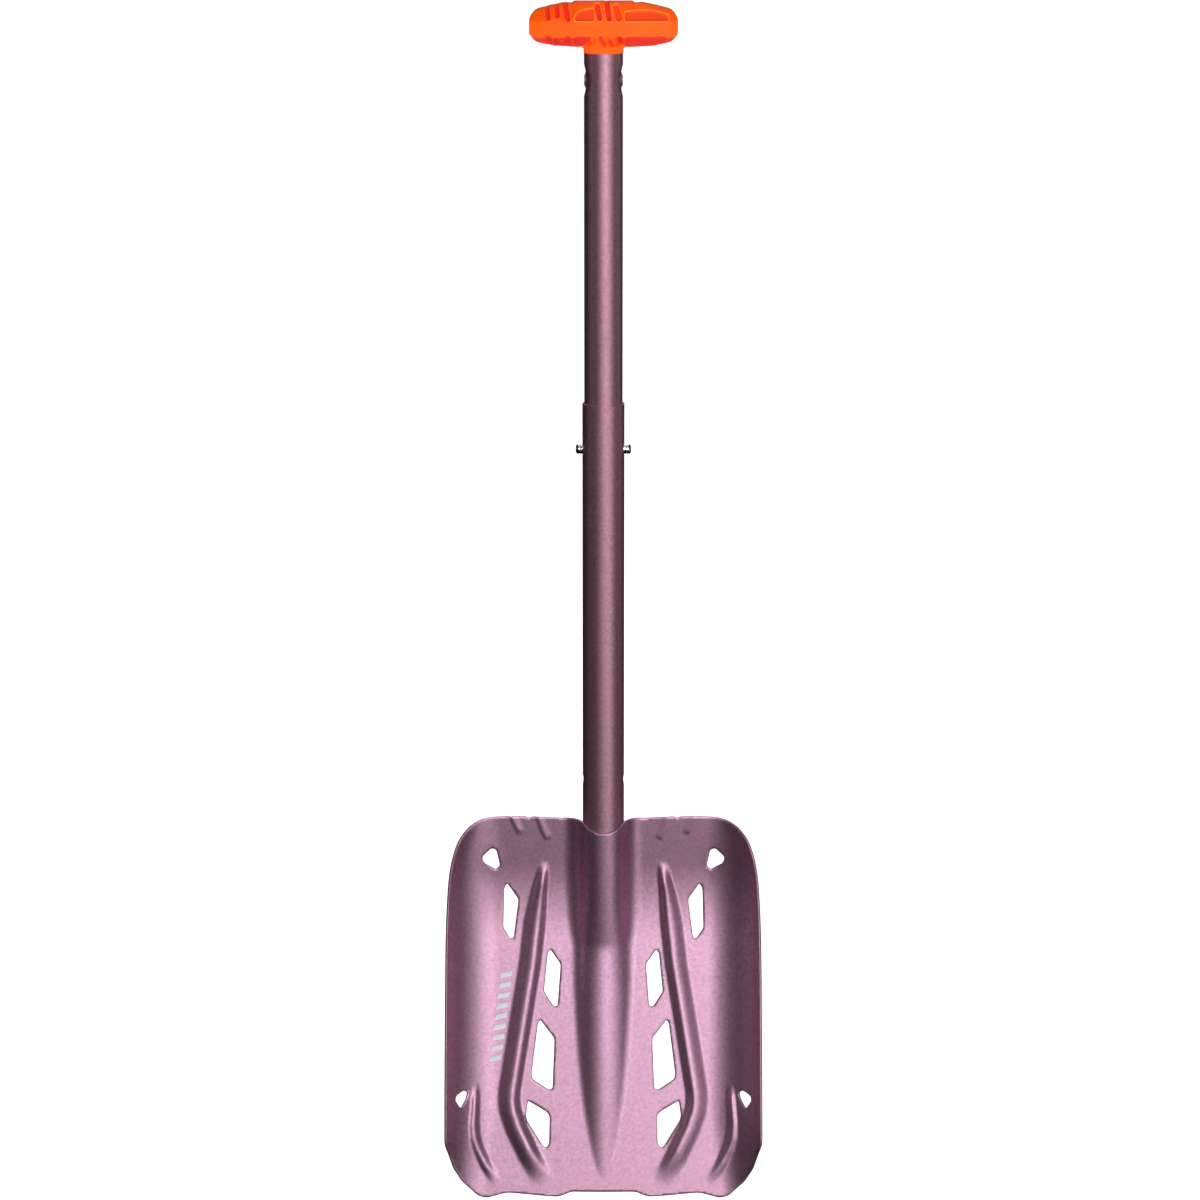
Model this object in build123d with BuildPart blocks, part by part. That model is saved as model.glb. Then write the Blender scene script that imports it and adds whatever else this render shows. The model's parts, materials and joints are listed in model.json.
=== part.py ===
from build123d import *
import os
from math import atan2, cos, hypot, radians, sin, sqrt, tan

# Avalanche shovel, extended: stamped aluminium scoop with a formed socket, a
# round lower shaft locked in the socket by one sprung button, a telescoping
# upper shaft locked by two sprung side pins, and a T grip.
#
# Frame: +Z up along the shaft, -Y is the load side of the scoop, +X to the
# right of a person looking at the load side.  z = 0 is the lowest point of the
# cutting edge.  All dimensions are millimetres.

os.makedirs("parts", exist_ok=True)

# ---------------------------------------------------------------- dimensions
SHAFT_Y = 27.314         # shaft axis behind the middle of the bounding box

# blade sheet
SHEET = 2.0              # blade sheet thickness
BLADE_TOP = 289.0        # height of the top wall edge
BLADE_HALF = 123.2       # half width of the blade
WEB_Y = 1.0              # front face of the top wall, behind the shaft axis
BEND_HI = 253.0          # the web starts to bend forward here
BEND_LO = 194.0          # and is straight again here
WEB_ANGLE = 16.0         # forward lean of the web, degrees
SOCKET_R = 18.3          # outside radius of the socket bulge
CREASE_Z = 189.0         # end of the parallel part of the bulge
BULGE_TIP_Z = 17.0       # where the bulge runs out into the web
CORNER_R = 56.0          # rounded upper corners of the scoop
RIB_H = 4.5              # long rib height
SMALL_RIB_H = 2.5        # short rib height

# socket strap (rear half of the socket)
STRAP_T = 1.8
STRAP_HALF = 44.0
STRAP_LO, STRAP_HI = 207.0, 284.0
STRAP_BORE = 16.3
STRAP_FILLET = 14.0

# shafts
LOWER_OD, LOWER_ID = 32.0, 29.6
LOWER_Z0, LOWER_Z1 = 208.0, 615.3
UPPER_OD, UPPER_ID = 29.1, 26.7
UPPER_Z0, UPPER_Z1 = 526.0, 879.2
PIN_Z = 579.8            # side pins with the shaft extended
PIN_Z_LOW = 320.5        # lower pair of pin holes, shaft collapsed
PIN_D, PIN_HOLE_UP, PIN_HOLE_LOW = 8.0, 8.3, 8.6
PIN_TIP_R = 21.1
PIN_FLANGE_R0, PIN_FLANGE_R1, PIN_FLANGE_D = 10.8, 12.2, 10.4

# blade lock
LOCK_Z = 250.0
LOCK_D, LOCK_HOLE = 8.6, 9.0
LOCK_TIP_R = 21.0
LOCK_FLANGE_R0, LOCK_FLANGE_R1, LOCK_FLANGE_D = 12.1, 13.5, 11.0

# grip
RIVET_Z = 859.0
GRIP_TOP = 917.5
GRIP_HALF = 54.9
GRIP_DEPTH = 30.0


# ------------------------------------------------------- blade sheet geometry
# The web is a flat top wall, a bend of radius BEND_R and a straight lean.  Every
# plane below carries local x = +X and local y = towards the load side (-Y).
LEAN = radians(WEB_ANGLE)
BEND_R = (BEND_HI - BEND_LO) / sin(LEAN)
BEND_Y = WEB_Y - BEND_R * (1 - cos(LEAN))       # front face at the bend's end
TOP_PLANE = Plane((0, SHAFT_Y + WEB_Y, BEND_HI), x_dir=(1, 0, 0), z_dir=(0, 0, -1))
LEAN_PLANE = Plane((0, SHAFT_Y + BEND_Y, BEND_LO), x_dir=(1, 0, 0),
                   z_dir=(0, -sin(LEAN), -cos(LEAN)))
BEND_AXIS = Axis((0, SHAFT_Y + WEB_Y - BEND_R, BEND_HI), (-1, 0, 0))
SIDE_X0 = 82.0                                   # the side wall starts to curl
SIDE_R = 46.0                                    # radius of the curl
RIB_W, RIB_RISE = 15.0, 3.4
CREST_DIR = atan2(-SOCKET_R - BEND_Y + tan(LEAN) * (BEND_LO - BULGE_TIP_Z),
                  CREASE_Z - BULGE_TIP_Z)
LOWER_BULGE_R = 35.0


def sheet_profile(d0, d1, half):
    """Cross-section of the scoop between two depths in front of the face."""
    reach = half - SIDE_X0
    if reach <= 0:
        with Locations((0, (d0 + d1) / 2)):
            Rectangle(2 * half, abs(d1 - d0))
        return
    ends = []
    with BuildLine() as lines:
        for d in (d0, d1):
            r = SIDE_R - d
            top = (half, SIDE_R - sqrt(r * r - reach * reach))
            mid_x = SIDE_X0 + reach * 0.55
            mid = (mid_x, SIDE_R - sqrt(r * r - (mid_x - SIDE_X0) ** 2))
            ends.append(top)
            Line((0, d), (SIDE_X0, d))
            ThreePointArc((SIDE_X0, d), mid, top)
        Line(ends[0], ends[1])
        mirror(about=Plane.YZ)
    make_face(lines.edges())


def add_sheet(d0, d1, half):
    """Top wall, bend and leaning web of one layer, in the current part."""
    with BuildSketch(TOP_PLANE) as wall:
        sheet_profile(d0, d1, half)
    extrude(wall.sketch, amount=-50)
    with BuildSketch(TOP_PLANE) as bend:
        sheet_profile(d0, d1, half)
    revolve(bend.sketch, axis=BEND_AXIS, revolution_arc=WEB_ANGLE)
    with BuildSketch(LEAN_PLANE) as web:
        sheet_profile(d0, d1, half)
    extrude(web.sketch, amount=215)


def side_outline(depth, far):
    """Outline in the YZ plane of everything between a depth and a far plane."""
    def p(angle, y, z):
        return (y - depth * cos(angle), z + depth * sin(angle))

    a = p(0, WEB_Y, 305)
    b = p(0, WEB_Y, BEND_HI)
    m = p(LEAN / 2, WEB_Y - BEND_R * (1 - cos(LEAN / 2)), BEND_HI - BEND_R * sin(LEAN / 2))
    c = p(LEAN, BEND_Y, BEND_LO)
    d = (c[0] - 240 * sin(LEAN), c[1] - 240 * cos(LEAN))
    with BuildLine() as lines:
        Line(a, b)
        ThreePointArc(b, m, c)
        Line(c, d)
        Line(d, (far, d[1]))
        Line((far, d[1]), (far, 305))
        Line((far, 305), a)
    make_face(lines.edges())


def lean_cylinder(radius):
    """Round bar whose front line is the crest of the lower bulge, set back by
    the difference between its radius and the bulge's."""
    a = CREST_DIR
    y = -SOCKET_R + LOWER_BULGE_R * cos(a)
    z = CREASE_Z - LOWER_BULGE_R * sin(a)
    up = 130.0
    start = (0, SHAFT_Y + y + up * sin(a), z + up * cos(a))
    with BuildSketch(Plane(start, x_dir=(1, 0, 0), z_dir=(0, -sin(a), -cos(a)))) as bar:
        Circle(radius)
    extrude(bar.sketch, amount=up + 240)


LONG_RIB = [(44.9, 254.6), (48.8, 228.3), (55.0, 175.1), (63.4, 125.2),
            (69.4, 88.0), (71.2, 76.0), (70.9, 67.0), (65.8, 51.5),
            (55.7, 31.7), (44.5, 14.4)]
SHORT_RIB = [(98.7, 86.7), (99.6, 69.7), (100.6, 52.7), (97.2, 37.8),
             (91.4, 24.3), (83.5, 13.0)]


def strip(path, width, s):
    """Closed strip of a width along a path in the XZ plane."""
    left, right = [], []
    for i, (x, z) in enumerate(path):
        x0, z0 = path[max(i - 1, 0)]
        x1, z1 = path[min(i + 1, len(path) - 1)]
        n = hypot(x1 - x0, z1 - z0)
        nx, nz = -(z1 - z0) / n, (x1 - x0) / n
        left.append((s * (x + nx * width / 2), z + nz * width / 2))
        right.append((s * (x - nx * width / 2), z - nz * width / 2))
    with BuildLine() as lines:
        Polyline(*(left + right[::-1]), close=True)
    make_face(lines.edges())


FRONT_VIEW = Plane((0, SHAFT_Y + 30, 0), x_dir=(1, 0, 0), z_dir=(0, -1, 0))
SIDE_VIEW = Plane((-150, SHAFT_Y, 0), x_dir=(0, 1, 0), z_dir=(1, 0, 0))


# ------------------------------------------------------------------- 1 blade
OUTLINE_TOP = [(0.0, 279.2), (5.0, 279.8), (10.2, 281.4), (15.2, 284.1),
               (19.7, 286.7), (24.0, 287.9), (31.9, 288.1)]
OUTLINE_STEP = [(31.9, 288.1), (41.9, 288.6), (50.9, 289.2), (55.2, 289.2),
                (57.4, 288.4), (59.8, 289.1), (64.0, 289.4), (76.5, 289.3)]
OUTLINE_CORNER = [(76.5, 289.3), (86.5, 288.9), (95.5, 287.4), (103.2, 283.6),
                  (109.2, 277.9), (113.2, 271.8), (116.4, 263.0),
                  (118.6, 253.7), (120.0, 244.4), (121.0, 232.0),
                  (122.0, 212.0), (122.6, 184.0)]
OUTLINE_LOW = [(122.6, 184.0), (122.9, 120.0), (123.0, 46.9), (116.3, 24.9),
               (109.7, 13.6), (97.5, 1.7), (94.2, 0.2), (90.4, 0.0),
               (77.2, 3.5), (72.5, 3.9), (44.3, 1.4), (34.5, 0.9),
               (25.2, 4.6), (0.0, 4.4)]
HOLES = {
    "step_hole": [(86.9, 264.6), (82.9, 263.0), (80.1, 249.6), (83.7, 246.6),
                  (93.2, 252.4), (94.6, 257.6)],
    "upper_slot": [(74.9, 236.4), (65.8, 223.3), (69.7, 193.6), (72.8, 193.2),
                   (78.4, 201.3), (77.6, 232.2)],
    "middle_slot": [(41.2, 185.6), (32.9, 174.4), (35.3, 142.9), (38.8, 142.2),
                    (46.7, 153.8), (43.6, 183.2)],
    "lower_window": [(49.1, 133.2), (37.7, 119.0), (39.2, 81.4), (42.5, 80.2),
                     (55.5, 88.4), (56.3, 92.4), (51.3, 130.6)],
    "toe_window": [(59.0, 73.0), (43.4, 64.2), (41.4, 60.6), (41.9, 40.3),
                   (44.3, 37.2), (46.9, 38.0), (59.8, 57.8), (60.6, 61.6)],
    "corner_hole": [(108.1, 83.0), (105.0, 81.3), (105.6, 76.6),
                    (110.1, 69.0), (114.6, 76.8), (114.0, 80.2)],
}

# hollow under the bulge and everything in front of the back of the web
with BuildPart() as bulge_inner:
    with BuildSketch(Plane((0, SHAFT_Y, CREASE_Z))):
        Circle(SOCKET_R - SHEET)
    extrude(amount=130)
    lean_cylinder(LOWER_BULGE_R - SHEET)

with BuildPart() as bulge_outer:
    with BuildSketch(Plane((0, SHAFT_Y, CREASE_Z))):
        Circle(SOCKET_R)
    extrude(amount=130)
    lean_cylinder(LOWER_BULGE_R)
    with BuildSketch(SIDE_VIEW):
        side_outline(-SHEET, -260)
    extrude(amount=300, mode=Mode.INTERSECT)

# raised layers that the ribs are cut from, and the hollows behind them
with BuildPart() as long_ribs:
    add_sheet(-0.5, RIB_RISE, 80)
    with BuildSketch(FRONT_VIEW):
        for s in (1, -1):
            strip(LONG_RIB, RIB_W, s)
    extrude(amount=130, mode=Mode.INTERSECT)

with BuildPart() as long_rib_hollows:
    add_sheet(-SHEET - 1.0, RIB_RISE - SHEET, 80)
    with BuildSketch(FRONT_VIEW):
        for s in (1, -1):
            strip(LONG_RIB, RIB_W - 2 * SHEET, s)
    extrude(amount=130, mode=Mode.INTERSECT)

with BuildPart() as short_ribs:
    add_sheet(-0.5, 1.8, 118)
    with BuildSketch(FRONT_VIEW):
        for s in (1, -1):
            strip(SHORT_RIB, 7.0, s)
    extrude(amount=130, mode=Mode.INTERSECT)

with BuildPart() as blade:
    add_sheet(-SHEET, 0, 126.0)
    add(bulge_outer.part)
    add(bulge_inner.part, mode=Mode.SUBTRACT)
    add(long_ribs.part)
    add(short_ribs.part)
    add(long_rib_hollows.part, mode=Mode.SUBTRACT)
    # outline and cut-outs
    with BuildSketch(FRONT_VIEW):
        with BuildLine():
            Polyline(*OUTLINE_TOP)
            Polyline(*OUTLINE_STEP)
            Polyline(*OUTLINE_CORNER)
            Polyline(*OUTLINE_LOW)
            mirror(about=Plane.YZ)
        make_face()
        for points in HOLES.values():
            for s in (1, -1):
                with BuildSketch(mode=Mode.PRIVATE) as hole:
                    with BuildLine():
                        Polyline(*[(s * x, z) for x, z in points], close=True)
                    make_face()
                    fillet(hole.vertices(), 0.9)
                add(hole.sketch, mode=Mode.SUBTRACT)
    extrude(amount=130, mode=Mode.INTERSECT)
blade.part.label = "blade"
export_step(blade.part, "parts/blade.step")

# ------------------------------------------------------------ 2 socket strap
with BuildPart() as strap_arch:
    with BuildSketch(Plane((0, SHAFT_Y, STRAP_LO - 5))):
        Circle(STRAP_BORE + STRAP_T)
    extrude(amount=100)
    with BuildSketch(SIDE_VIEW):
        side_outline(-SHEET - 0.02, 60)
    extrude(amount=300, mode=Mode.INTERSECT)

with BuildPart() as socket_strap:
    add_sheet(-SHEET - STRAP_T, -SHEET - 0.02, 60)
    add(strap_arch.part)
    with BuildSketch(Plane((0, SHAFT_Y, STRAP_LO - 15))):
        Circle(STRAP_BORE)
    extrude(amount=130, mode=Mode.SUBTRACT)
    with BuildSketch(Plane((0, SHAFT_Y + 30, 0), x_dir=(1, 0, 0), z_dir=(0, -1, 0))):
        with Locations((0, (STRAP_LO + STRAP_HI) / 2)):
            RectangleRounded(2 * STRAP_HALF, STRAP_HI - STRAP_LO, 9)
        with Locations((0, LOCK_Z)):
            Circle(LOCK_HOLE / 2 + 0.2, mode=Mode.SUBTRACT)
    extrude(amount=60, mode=Mode.INTERSECT)
socket_strap.part.label = "socket_strap"
export_step(socket_strap.part, "parts/socket_strap.step")

# -------------------------------------------------------- 3, 4 weld seams
for name, s in (("weld_seam_left", -1), ("weld_seam_right", 1)):
    x0 = s * (STRAP_HALF + 0.5)
    with BuildPart() as seam:
        with BuildSketch(TOP_PLANE):
            with Locations((x0, -SHEET - 0.6)):
                Circle(1.5)
        extrude(amount=-19)
        with BuildSketch(TOP_PLANE):
            with Locations((x0, -SHEET - 0.6)):
                Circle(1.5)
        revolve(axis=BEND_AXIS, revolution_arc=9)
    seam.part.label = name
    export_step(seam.part, f"parts/{name}.step")


# ---------------------------------------------------------------- 5 lower shaft
def axis_plane(z):
    return Plane((0, SHAFT_Y, z))


def x_plane(x, z):
    """Plane normal to +X, local x = -Y... used for the side pins."""
    return Plane((x, SHAFT_Y, z), x_dir=(0, 1, 0), z_dir=(1, 0, 0))


with BuildPart() as lower_shaft:
    with BuildSketch(axis_plane(LOWER_Z0)):
        Circle(LOWER_OD / 2)
        Circle(LOWER_ID / 2, mode=Mode.SUBTRACT)
    extrude(amount=LOWER_Z1 - LOWER_Z0)
    chamfer(lower_shaft.edges().filter_by(GeomType.CIRCLE).group_by(Axis.Z)[-1], 0.35)
    for z in (PIN_Z, PIN_Z_LOW):
        with BuildSketch(x_plane(-30, z)):
            Circle(PIN_HOLE_LOW / 2)
        extrude(amount=60, mode=Mode.SUBTRACT)
    with BuildSketch(Plane((0, SHAFT_Y + 5, LOCK_Z), x_dir=(-1, 0, 0), z_dir=(0, 1, 0))):
        Circle(LOCK_HOLE / 2)
    extrude(amount=20, mode=Mode.SUBTRACT)
lower_shaft.part.label = "lower_shaft"
export_step(lower_shaft.part, "parts/lower_shaft.step")

# ------------------------------------------------------------ 6 shaft foot plug
with BuildPart() as foot_plug:
    with BuildSketch(axis_plane(LOWER_Z0 - 3)):
        Circle(LOWER_OD / 2 - 0.3)
    extrude(amount=3)
    with BuildSketch(axis_plane(LOWER_Z0)):
        Circle(LOWER_ID / 2 - 0.02)
    extrude(amount=24)
    # pocket that takes the bight of the leaf spring
    with BuildSketch(axis_plane(LOWER_Z0 + 6)):
        Rectangle(11, 25.6)
    extrude(amount=18, mode=Mode.SUBTRACT)
    chamfer(foot_plug.edges().filter_by(GeomType.CIRCLE).group_by(Axis.Z)[0], 1.0)
foot_plug.part.label = "foot_plug"
export_step(foot_plug.part, "parts/foot_plug.step")

# --------------------------------------------- 7 blade lock spring (hairpin leaf)
SPRING_T = 0.7
leg_back = LOCK_FLANGE_R0            # outer face of the leg behind the button
with BuildPart() as blade_lock_spring:
    with BuildSketch(Plane((-4.5, SHAFT_Y, 0), x_dir=(0, 1, 0), z_dir=(1, 0, 0))):
        with BuildLine():
            r_out = leg_back
            Line((-r_out, 246), (-r_out, 226.2))
            ThreePointArc((-r_out, 226.2), (0, 226.2 - r_out), (r_out, 226.2))
            Line((r_out, 226.2), (r_out, 256))
            Line((r_out, 256), (r_out - SPRING_T, 256))
            Line((r_out - SPRING_T, 256), (r_out - SPRING_T, 226.2))
            ThreePointArc((r_out - SPRING_T, 226.2), (0, 226.2 - r_out + SPRING_T),
                          (-r_out + SPRING_T, 226.2))
            Line((-r_out + SPRING_T, 226.2), (-r_out + SPRING_T, 246))
            Line((-r_out + SPRING_T, 246), (-r_out, 246))
        make_face()
    extrude(amount=9)
blade_lock_spring.part.label = "blade_lock_spring"
export_step(blade_lock_spring.part, "parts/blade_lock_spring.step")

# ------------------------------------------------------- 8 blade lock button
with BuildPart() as blade_lock_button:
    with BuildSketch(Plane((0, SHAFT_Y + LOCK_FLANGE_R0, LOCK_Z), x_dir=(-1, 0, 0), z_dir=(0, 1, 0))):
        Circle(LOCK_FLANGE_D / 2)
    extrude(amount=LOCK_FLANGE_R1 - LOCK_FLANGE_R0)
    with BuildSketch(Plane((0, SHAFT_Y + LOCK_FLANGE_R1, LOCK_Z), x_dir=(-1, 0, 0), z_dir=(0, 1, 0))):
        Circle(LOCK_D / 2)
    extrude(amount=LOCK_TIP_R - LOCK_FLANGE_R1)
    fillet(blade_lock_button.edges().filter_by(GeomType.CIRCLE).group_by(Axis.Y)[-1], 1.6)
blade_lock_button.part.label = "blade_lock_button"
export_step(blade_lock_button.part, "parts/blade_lock_button.step")

# -------------------------------------------------------------- 9 upper shaft
with BuildPart() as upper_shaft:
    with BuildSketch(axis_plane(UPPER_Z0)):
        Circle(UPPER_OD / 2)
        Circle(UPPER_ID / 2, mode=Mode.SUBTRACT)
    extrude(amount=UPPER_Z1 - UPPER_Z0)
    with BuildSketch(x_plane(-30, PIN_Z)):
        Circle(PIN_HOLE_UP / 2)
    extrude(amount=60, mode=Mode.SUBTRACT)
    with BuildSketch(x_plane(-30, RIVET_Z)):
        Circle(2.55)
    extrude(amount=60, mode=Mode.SUBTRACT)
    # shallow seats of the rivet heads
    for s in (-1, 1):
        with BuildSketch(x_plane(s * (UPPER_OD / 2 - 0.5), RIVET_Z)):
            Circle(5.2)
        extrude(amount=s * 3, mode=Mode.SUBTRACT)
upper_shaft.part.label = "upper_shaft"
export_step(upper_shaft.part, "parts/upper_shaft.step")

# ------------------------------------------------- 10 guide plug, lower end
with BuildPart() as guide_plug:
    with BuildSketch(axis_plane(UPPER_Z0 - 4.5)):
        Circle(LOWER_ID / 2 - 0.08)
    extrude(amount=4.5)
    with BuildSketch(axis_plane(UPPER_Z0)):
        Circle(UPPER_ID / 2 - 0.02)
    extrude(amount=16)
    with BuildSketch(axis_plane(UPPER_Z0 + 3.2)):
        Circle(12.0)
    extrude(amount=20, mode=Mode.SUBTRACT)
    chamfer(guide_plug.edges().filter_by(GeomType.CIRCLE).group_by(Axis.Z)[0], 0.8)
guide_plug.part.label = "guide_plug"
export_step(guide_plug.part, "parts/guide_plug.step")

# ----------------------------------------- 11 lock pin spring (hairpin leaf)
PIN_SPRING_T = 0.8
bight_z = UPPER_Z0 + 3.2 + PIN_FLANGE_R0
with BuildPart() as lock_pin_spring:
    with BuildSketch(Plane((0, SHAFT_Y + 4.5, 0), x_dir=(1, 0, 0), z_dir=(0, -1, 0))):
        with BuildLine():
            ro, ri = PIN_FLANGE_R0, PIN_FLANGE_R0 - PIN_SPRING_T
            Line((-ro, 588), (-ro, bight_z))
            ThreePointArc((-ro, bight_z), (0, bight_z - ro), (ro, bight_z))
            Line((ro, bight_z), (ro, 588))
            Line((ro, 588), (ri, 588))
            Line((ri, 588), (ri, bight_z))
            ThreePointArc((ri, bight_z), (0, bight_z - ri), (-ri, bight_z))
            Line((-ri, bight_z), (-ri, 588))
            Line((-ri, 588), (-ro, 588))
        make_face()
    extrude(amount=9)
lock_pin_spring.part.label = "lock_pin_spring"
export_step(lock_pin_spring.part, "parts/lock_pin_spring.step")

# ------------------------------------------------------------ 12, 13 lock pins
for name, s in (("left_lock_pin", -1), ("right_lock_pin", 1)):
    with BuildPart() as pin:
        with BuildSketch(x_plane(s * PIN_FLANGE_R0, PIN_Z)):
            Circle(PIN_FLANGE_D / 2)
        extrude(amount=s * (PIN_FLANGE_R1 - PIN_FLANGE_R0))
        with BuildSketch(x_plane(s * PIN_FLANGE_R1, PIN_Z)):
            Circle(PIN_D / 2)
        extrude(amount=s * (PIN_TIP_R - PIN_FLANGE_R1))
        tip = pin.edges().filter_by(GeomType.CIRCLE).sort_by(Axis.X)[-1 if s > 0 else 0]
        fillet(tip, 1.5)
    pin.part.label = name
    export_step(pin.part, f"parts/{name}.step")

# ---------------------------------------------------------------- 14 grip core
BAR_Z = (884.6 + GRIP_TOP) / 2
with BuildPart() as grip_core:
    with BuildSketch(axis_plane(839)):
        Circle(UPPER_ID / 2 - 0.02)
        Circle(8.5, mode=Mode.SUBTRACT)
    extrude(amount=UPPER_Z1 - 839)
    with BuildSketch(axis_plane(UPPER_Z1 - 4)):
        Circle(UPPER_ID / 2 - 0.02)
    extrude(amount=4)
    with BuildSketch(axis_plane(UPPER_Z1)):
        Circle(10)
    extrude(amount=BAR_Z - UPPER_Z1)
    with BuildSketch(axis_plane(BAR_Z - 7)):
        SlotOverall(92, 13)
    extrude(amount=14)
    with BuildSketch(x_plane(-30, RIVET_Z)):
        Circle(2.55)
    extrude(amount=60, mode=Mode.SUBTRACT)
grip_core.part.label = "grip_core"
export_step(grip_core.part, "parts/grip_core.step")

# --------------------------------------------------------------- 15 grip cover
GRIP_FRONT = [(0, 917.5), (22.5, 917.5), (29.7, 916.3), (40.6, 914.1),
              (48.6, 912.1), (52.4, 909.4), (54.9, 904.9), (54.9, 893.6),
              (52.4, 889.4), (48.0, 887.1), (36.9, 884.8), (21.0, 884.0), (0, 884.0)]
GRIP_SIDE = [(-7.5, 917.5), (7.5, 917.5), (12.6, 912.2), (15.0, 905.8),
             (15.0, 895.6), (12.6, 889.4), (8.0, 884.0), (-8.0, 884.0),
             (-12.6, 889.4), (-15.0, 895.6), (-15.0, 905.8), (-12.6, 912.2)]
with BuildPart() as grip_cover:
    with BuildSketch(Plane((0, SHAFT_Y + 20, 0), x_dir=(1, 0, 0), z_dir=(0, -1, 0))):
        with BuildLine():
            Polyline(*GRIP_FRONT)
            mirror(about=Plane.YZ)
        make_face()
    extrude(amount=40)
    with BuildSketch(Plane((-60, SHAFT_Y, 0), x_dir=(0, 1, 0), z_dir=(1, 0, 0))):
        with BuildLine():
            Polyline(*GRIP_SIDE, close=True)
        make_face()
    extrude(amount=120, mode=Mode.INTERSECT)
    # collar flaring from the shaft into the bar
    with BuildSketch(Plane((0, SHAFT_Y, 0), x_dir=(1, 0, 0), z_dir=(0, -1, 0))):
        with BuildLine():
            Line((0, UPPER_Z1), (UPPER_OD / 2 + 0.1, UPPER_Z1))
            Line((UPPER_OD / 2 + 0.1, UPPER_Z1), (UPPER_OD / 2 + 0.1, 881.6))
            ThreePointArc((UPPER_OD / 2 + 0.1, 881.6), (16.4, 884.3), (21, 886.4))
            Line((21, 886.4), (14, 896))
            Line((14, 896), (0, 896))
            Line((0, 896), (0, UPPER_Z1))
        make_face()
    revolve(axis=Axis((0, SHAFT_Y, 0), (0, 0, 1)))
    # the bar narrows towards its ends, seen from above
    with BuildSketch(Plane((0, SHAFT_Y, 870))):
        with BuildLine():
            Polyline((-60, -9), (-54.9, -11), (-44, -14.2), (-20, -15.2),
                     (20, -15.2), (44, -14.2), (54.9, -11), (60, -9), (60, 9),
                     (54.9, 11), (44, 14.2), (20, 15.2), (-20, 15.2),
                     (-44, 14.2), (-54.9, 11), (-60, 9), close=True)
        make_face()
    extrude(amount=60, mode=Mode.INTERSECT)
    # room for the core
    with BuildSketch(axis_plane(UPPER_Z1 - 1)):
        Circle(10)
    extrude(amount=BAR_Z - UPPER_Z1 + 1, mode=Mode.SUBTRACT)
    with BuildSketch(axis_plane(BAR_Z - 7)):
        SlotOverall(92, 13)
    extrude(amount=14, mode=Mode.SUBTRACT)
grip_cover.part.label = "grip_cover"
export_step(grip_cover.part, "parts/grip_cover.step")

# --------------------------------------------------------------- 16 grip rivet
with BuildPart() as grip_rivet:
    with BuildSketch(x_plane(-(UPPER_OD / 2 - 0.5), RIVET_Z)):
        Circle(2.5)
    extrude(amount=UPPER_OD - 1.0)
    for s in (-1, 1):
        with BuildSketch(x_plane(s * (UPPER_OD / 2 - 0.5), RIVET_Z)):
            Circle(4.8)
        extrude(amount=s * 1.0, taper=35)
    # heads dressed round, so that they pass inside the lower tube
    with BuildSketch(axis_plane(RIVET_Z - 10)):
        Circle(LOWER_ID / 2 - 0.12)
    extrude(amount=20, mode=Mode.INTERSECT)
grip_rivet.part.label = "grip_rivet"
export_step(grip_rivet.part, "parts/grip_rivet.step")
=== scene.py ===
import json
from math import acos, atan2, cos, degrees, hypot, pi, radians, sin, sqrt, tan

import bmesh
import bpy
from mathutils import Euler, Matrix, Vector, geometry

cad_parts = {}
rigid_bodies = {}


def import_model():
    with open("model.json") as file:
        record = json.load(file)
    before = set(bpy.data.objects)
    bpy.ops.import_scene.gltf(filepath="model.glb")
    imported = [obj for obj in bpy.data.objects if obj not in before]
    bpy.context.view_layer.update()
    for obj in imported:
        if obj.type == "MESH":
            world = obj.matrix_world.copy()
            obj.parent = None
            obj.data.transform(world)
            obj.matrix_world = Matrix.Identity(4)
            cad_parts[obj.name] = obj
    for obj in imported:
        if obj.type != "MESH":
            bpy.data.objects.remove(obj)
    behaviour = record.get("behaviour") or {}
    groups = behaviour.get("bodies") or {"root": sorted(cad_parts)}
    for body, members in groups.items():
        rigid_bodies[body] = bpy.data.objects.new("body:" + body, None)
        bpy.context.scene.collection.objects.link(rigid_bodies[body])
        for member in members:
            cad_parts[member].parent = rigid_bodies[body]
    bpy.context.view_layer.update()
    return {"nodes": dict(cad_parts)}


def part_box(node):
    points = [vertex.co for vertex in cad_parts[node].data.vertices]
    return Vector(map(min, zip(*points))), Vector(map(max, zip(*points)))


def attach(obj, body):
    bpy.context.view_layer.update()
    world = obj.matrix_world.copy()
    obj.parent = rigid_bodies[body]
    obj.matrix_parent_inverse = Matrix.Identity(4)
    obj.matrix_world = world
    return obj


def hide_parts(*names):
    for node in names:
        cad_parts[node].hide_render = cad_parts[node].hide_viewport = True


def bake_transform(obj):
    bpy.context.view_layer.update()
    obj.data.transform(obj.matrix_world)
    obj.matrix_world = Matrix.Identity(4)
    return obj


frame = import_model()

MM = 0.001
SHAFT = (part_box("lower_shaft")[0][1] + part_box("lower_shaft")[1][1]) / 2   # shaft axis, y in metres
SY = SHAFT / MM

# =====================================================================
# materials
# =====================================================================


def new_material(name):
    mat = bpy.data.materials.new(name)
    mat.use_nodes = True
    nt = mat.node_tree
    nt.nodes.clear()
    out = nt.nodes.new("ShaderNodeOutputMaterial")
    bsdf = nt.nodes.new("ShaderNodeBsdfPrincipled")
    nt.links.new(bsdf.outputs["BSDF"], out.inputs["Surface"])
    return mat, nt, bsdf


def coords(nt):
    return nt.nodes.new("ShaderNodeTexCoord").outputs["Object"]


def noise(nt, vec, scale, detail=2.0, rough=0.5):
    n = nt.nodes.new("ShaderNodeTexNoise")
    n.inputs["Scale"].default_value = scale
    n.inputs["Detail"].default_value = detail
    n.inputs["Roughness"].default_value = rough
    nt.links.new(vec, n.inputs["Vector"])
    return n.outputs["Fac"]


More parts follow.
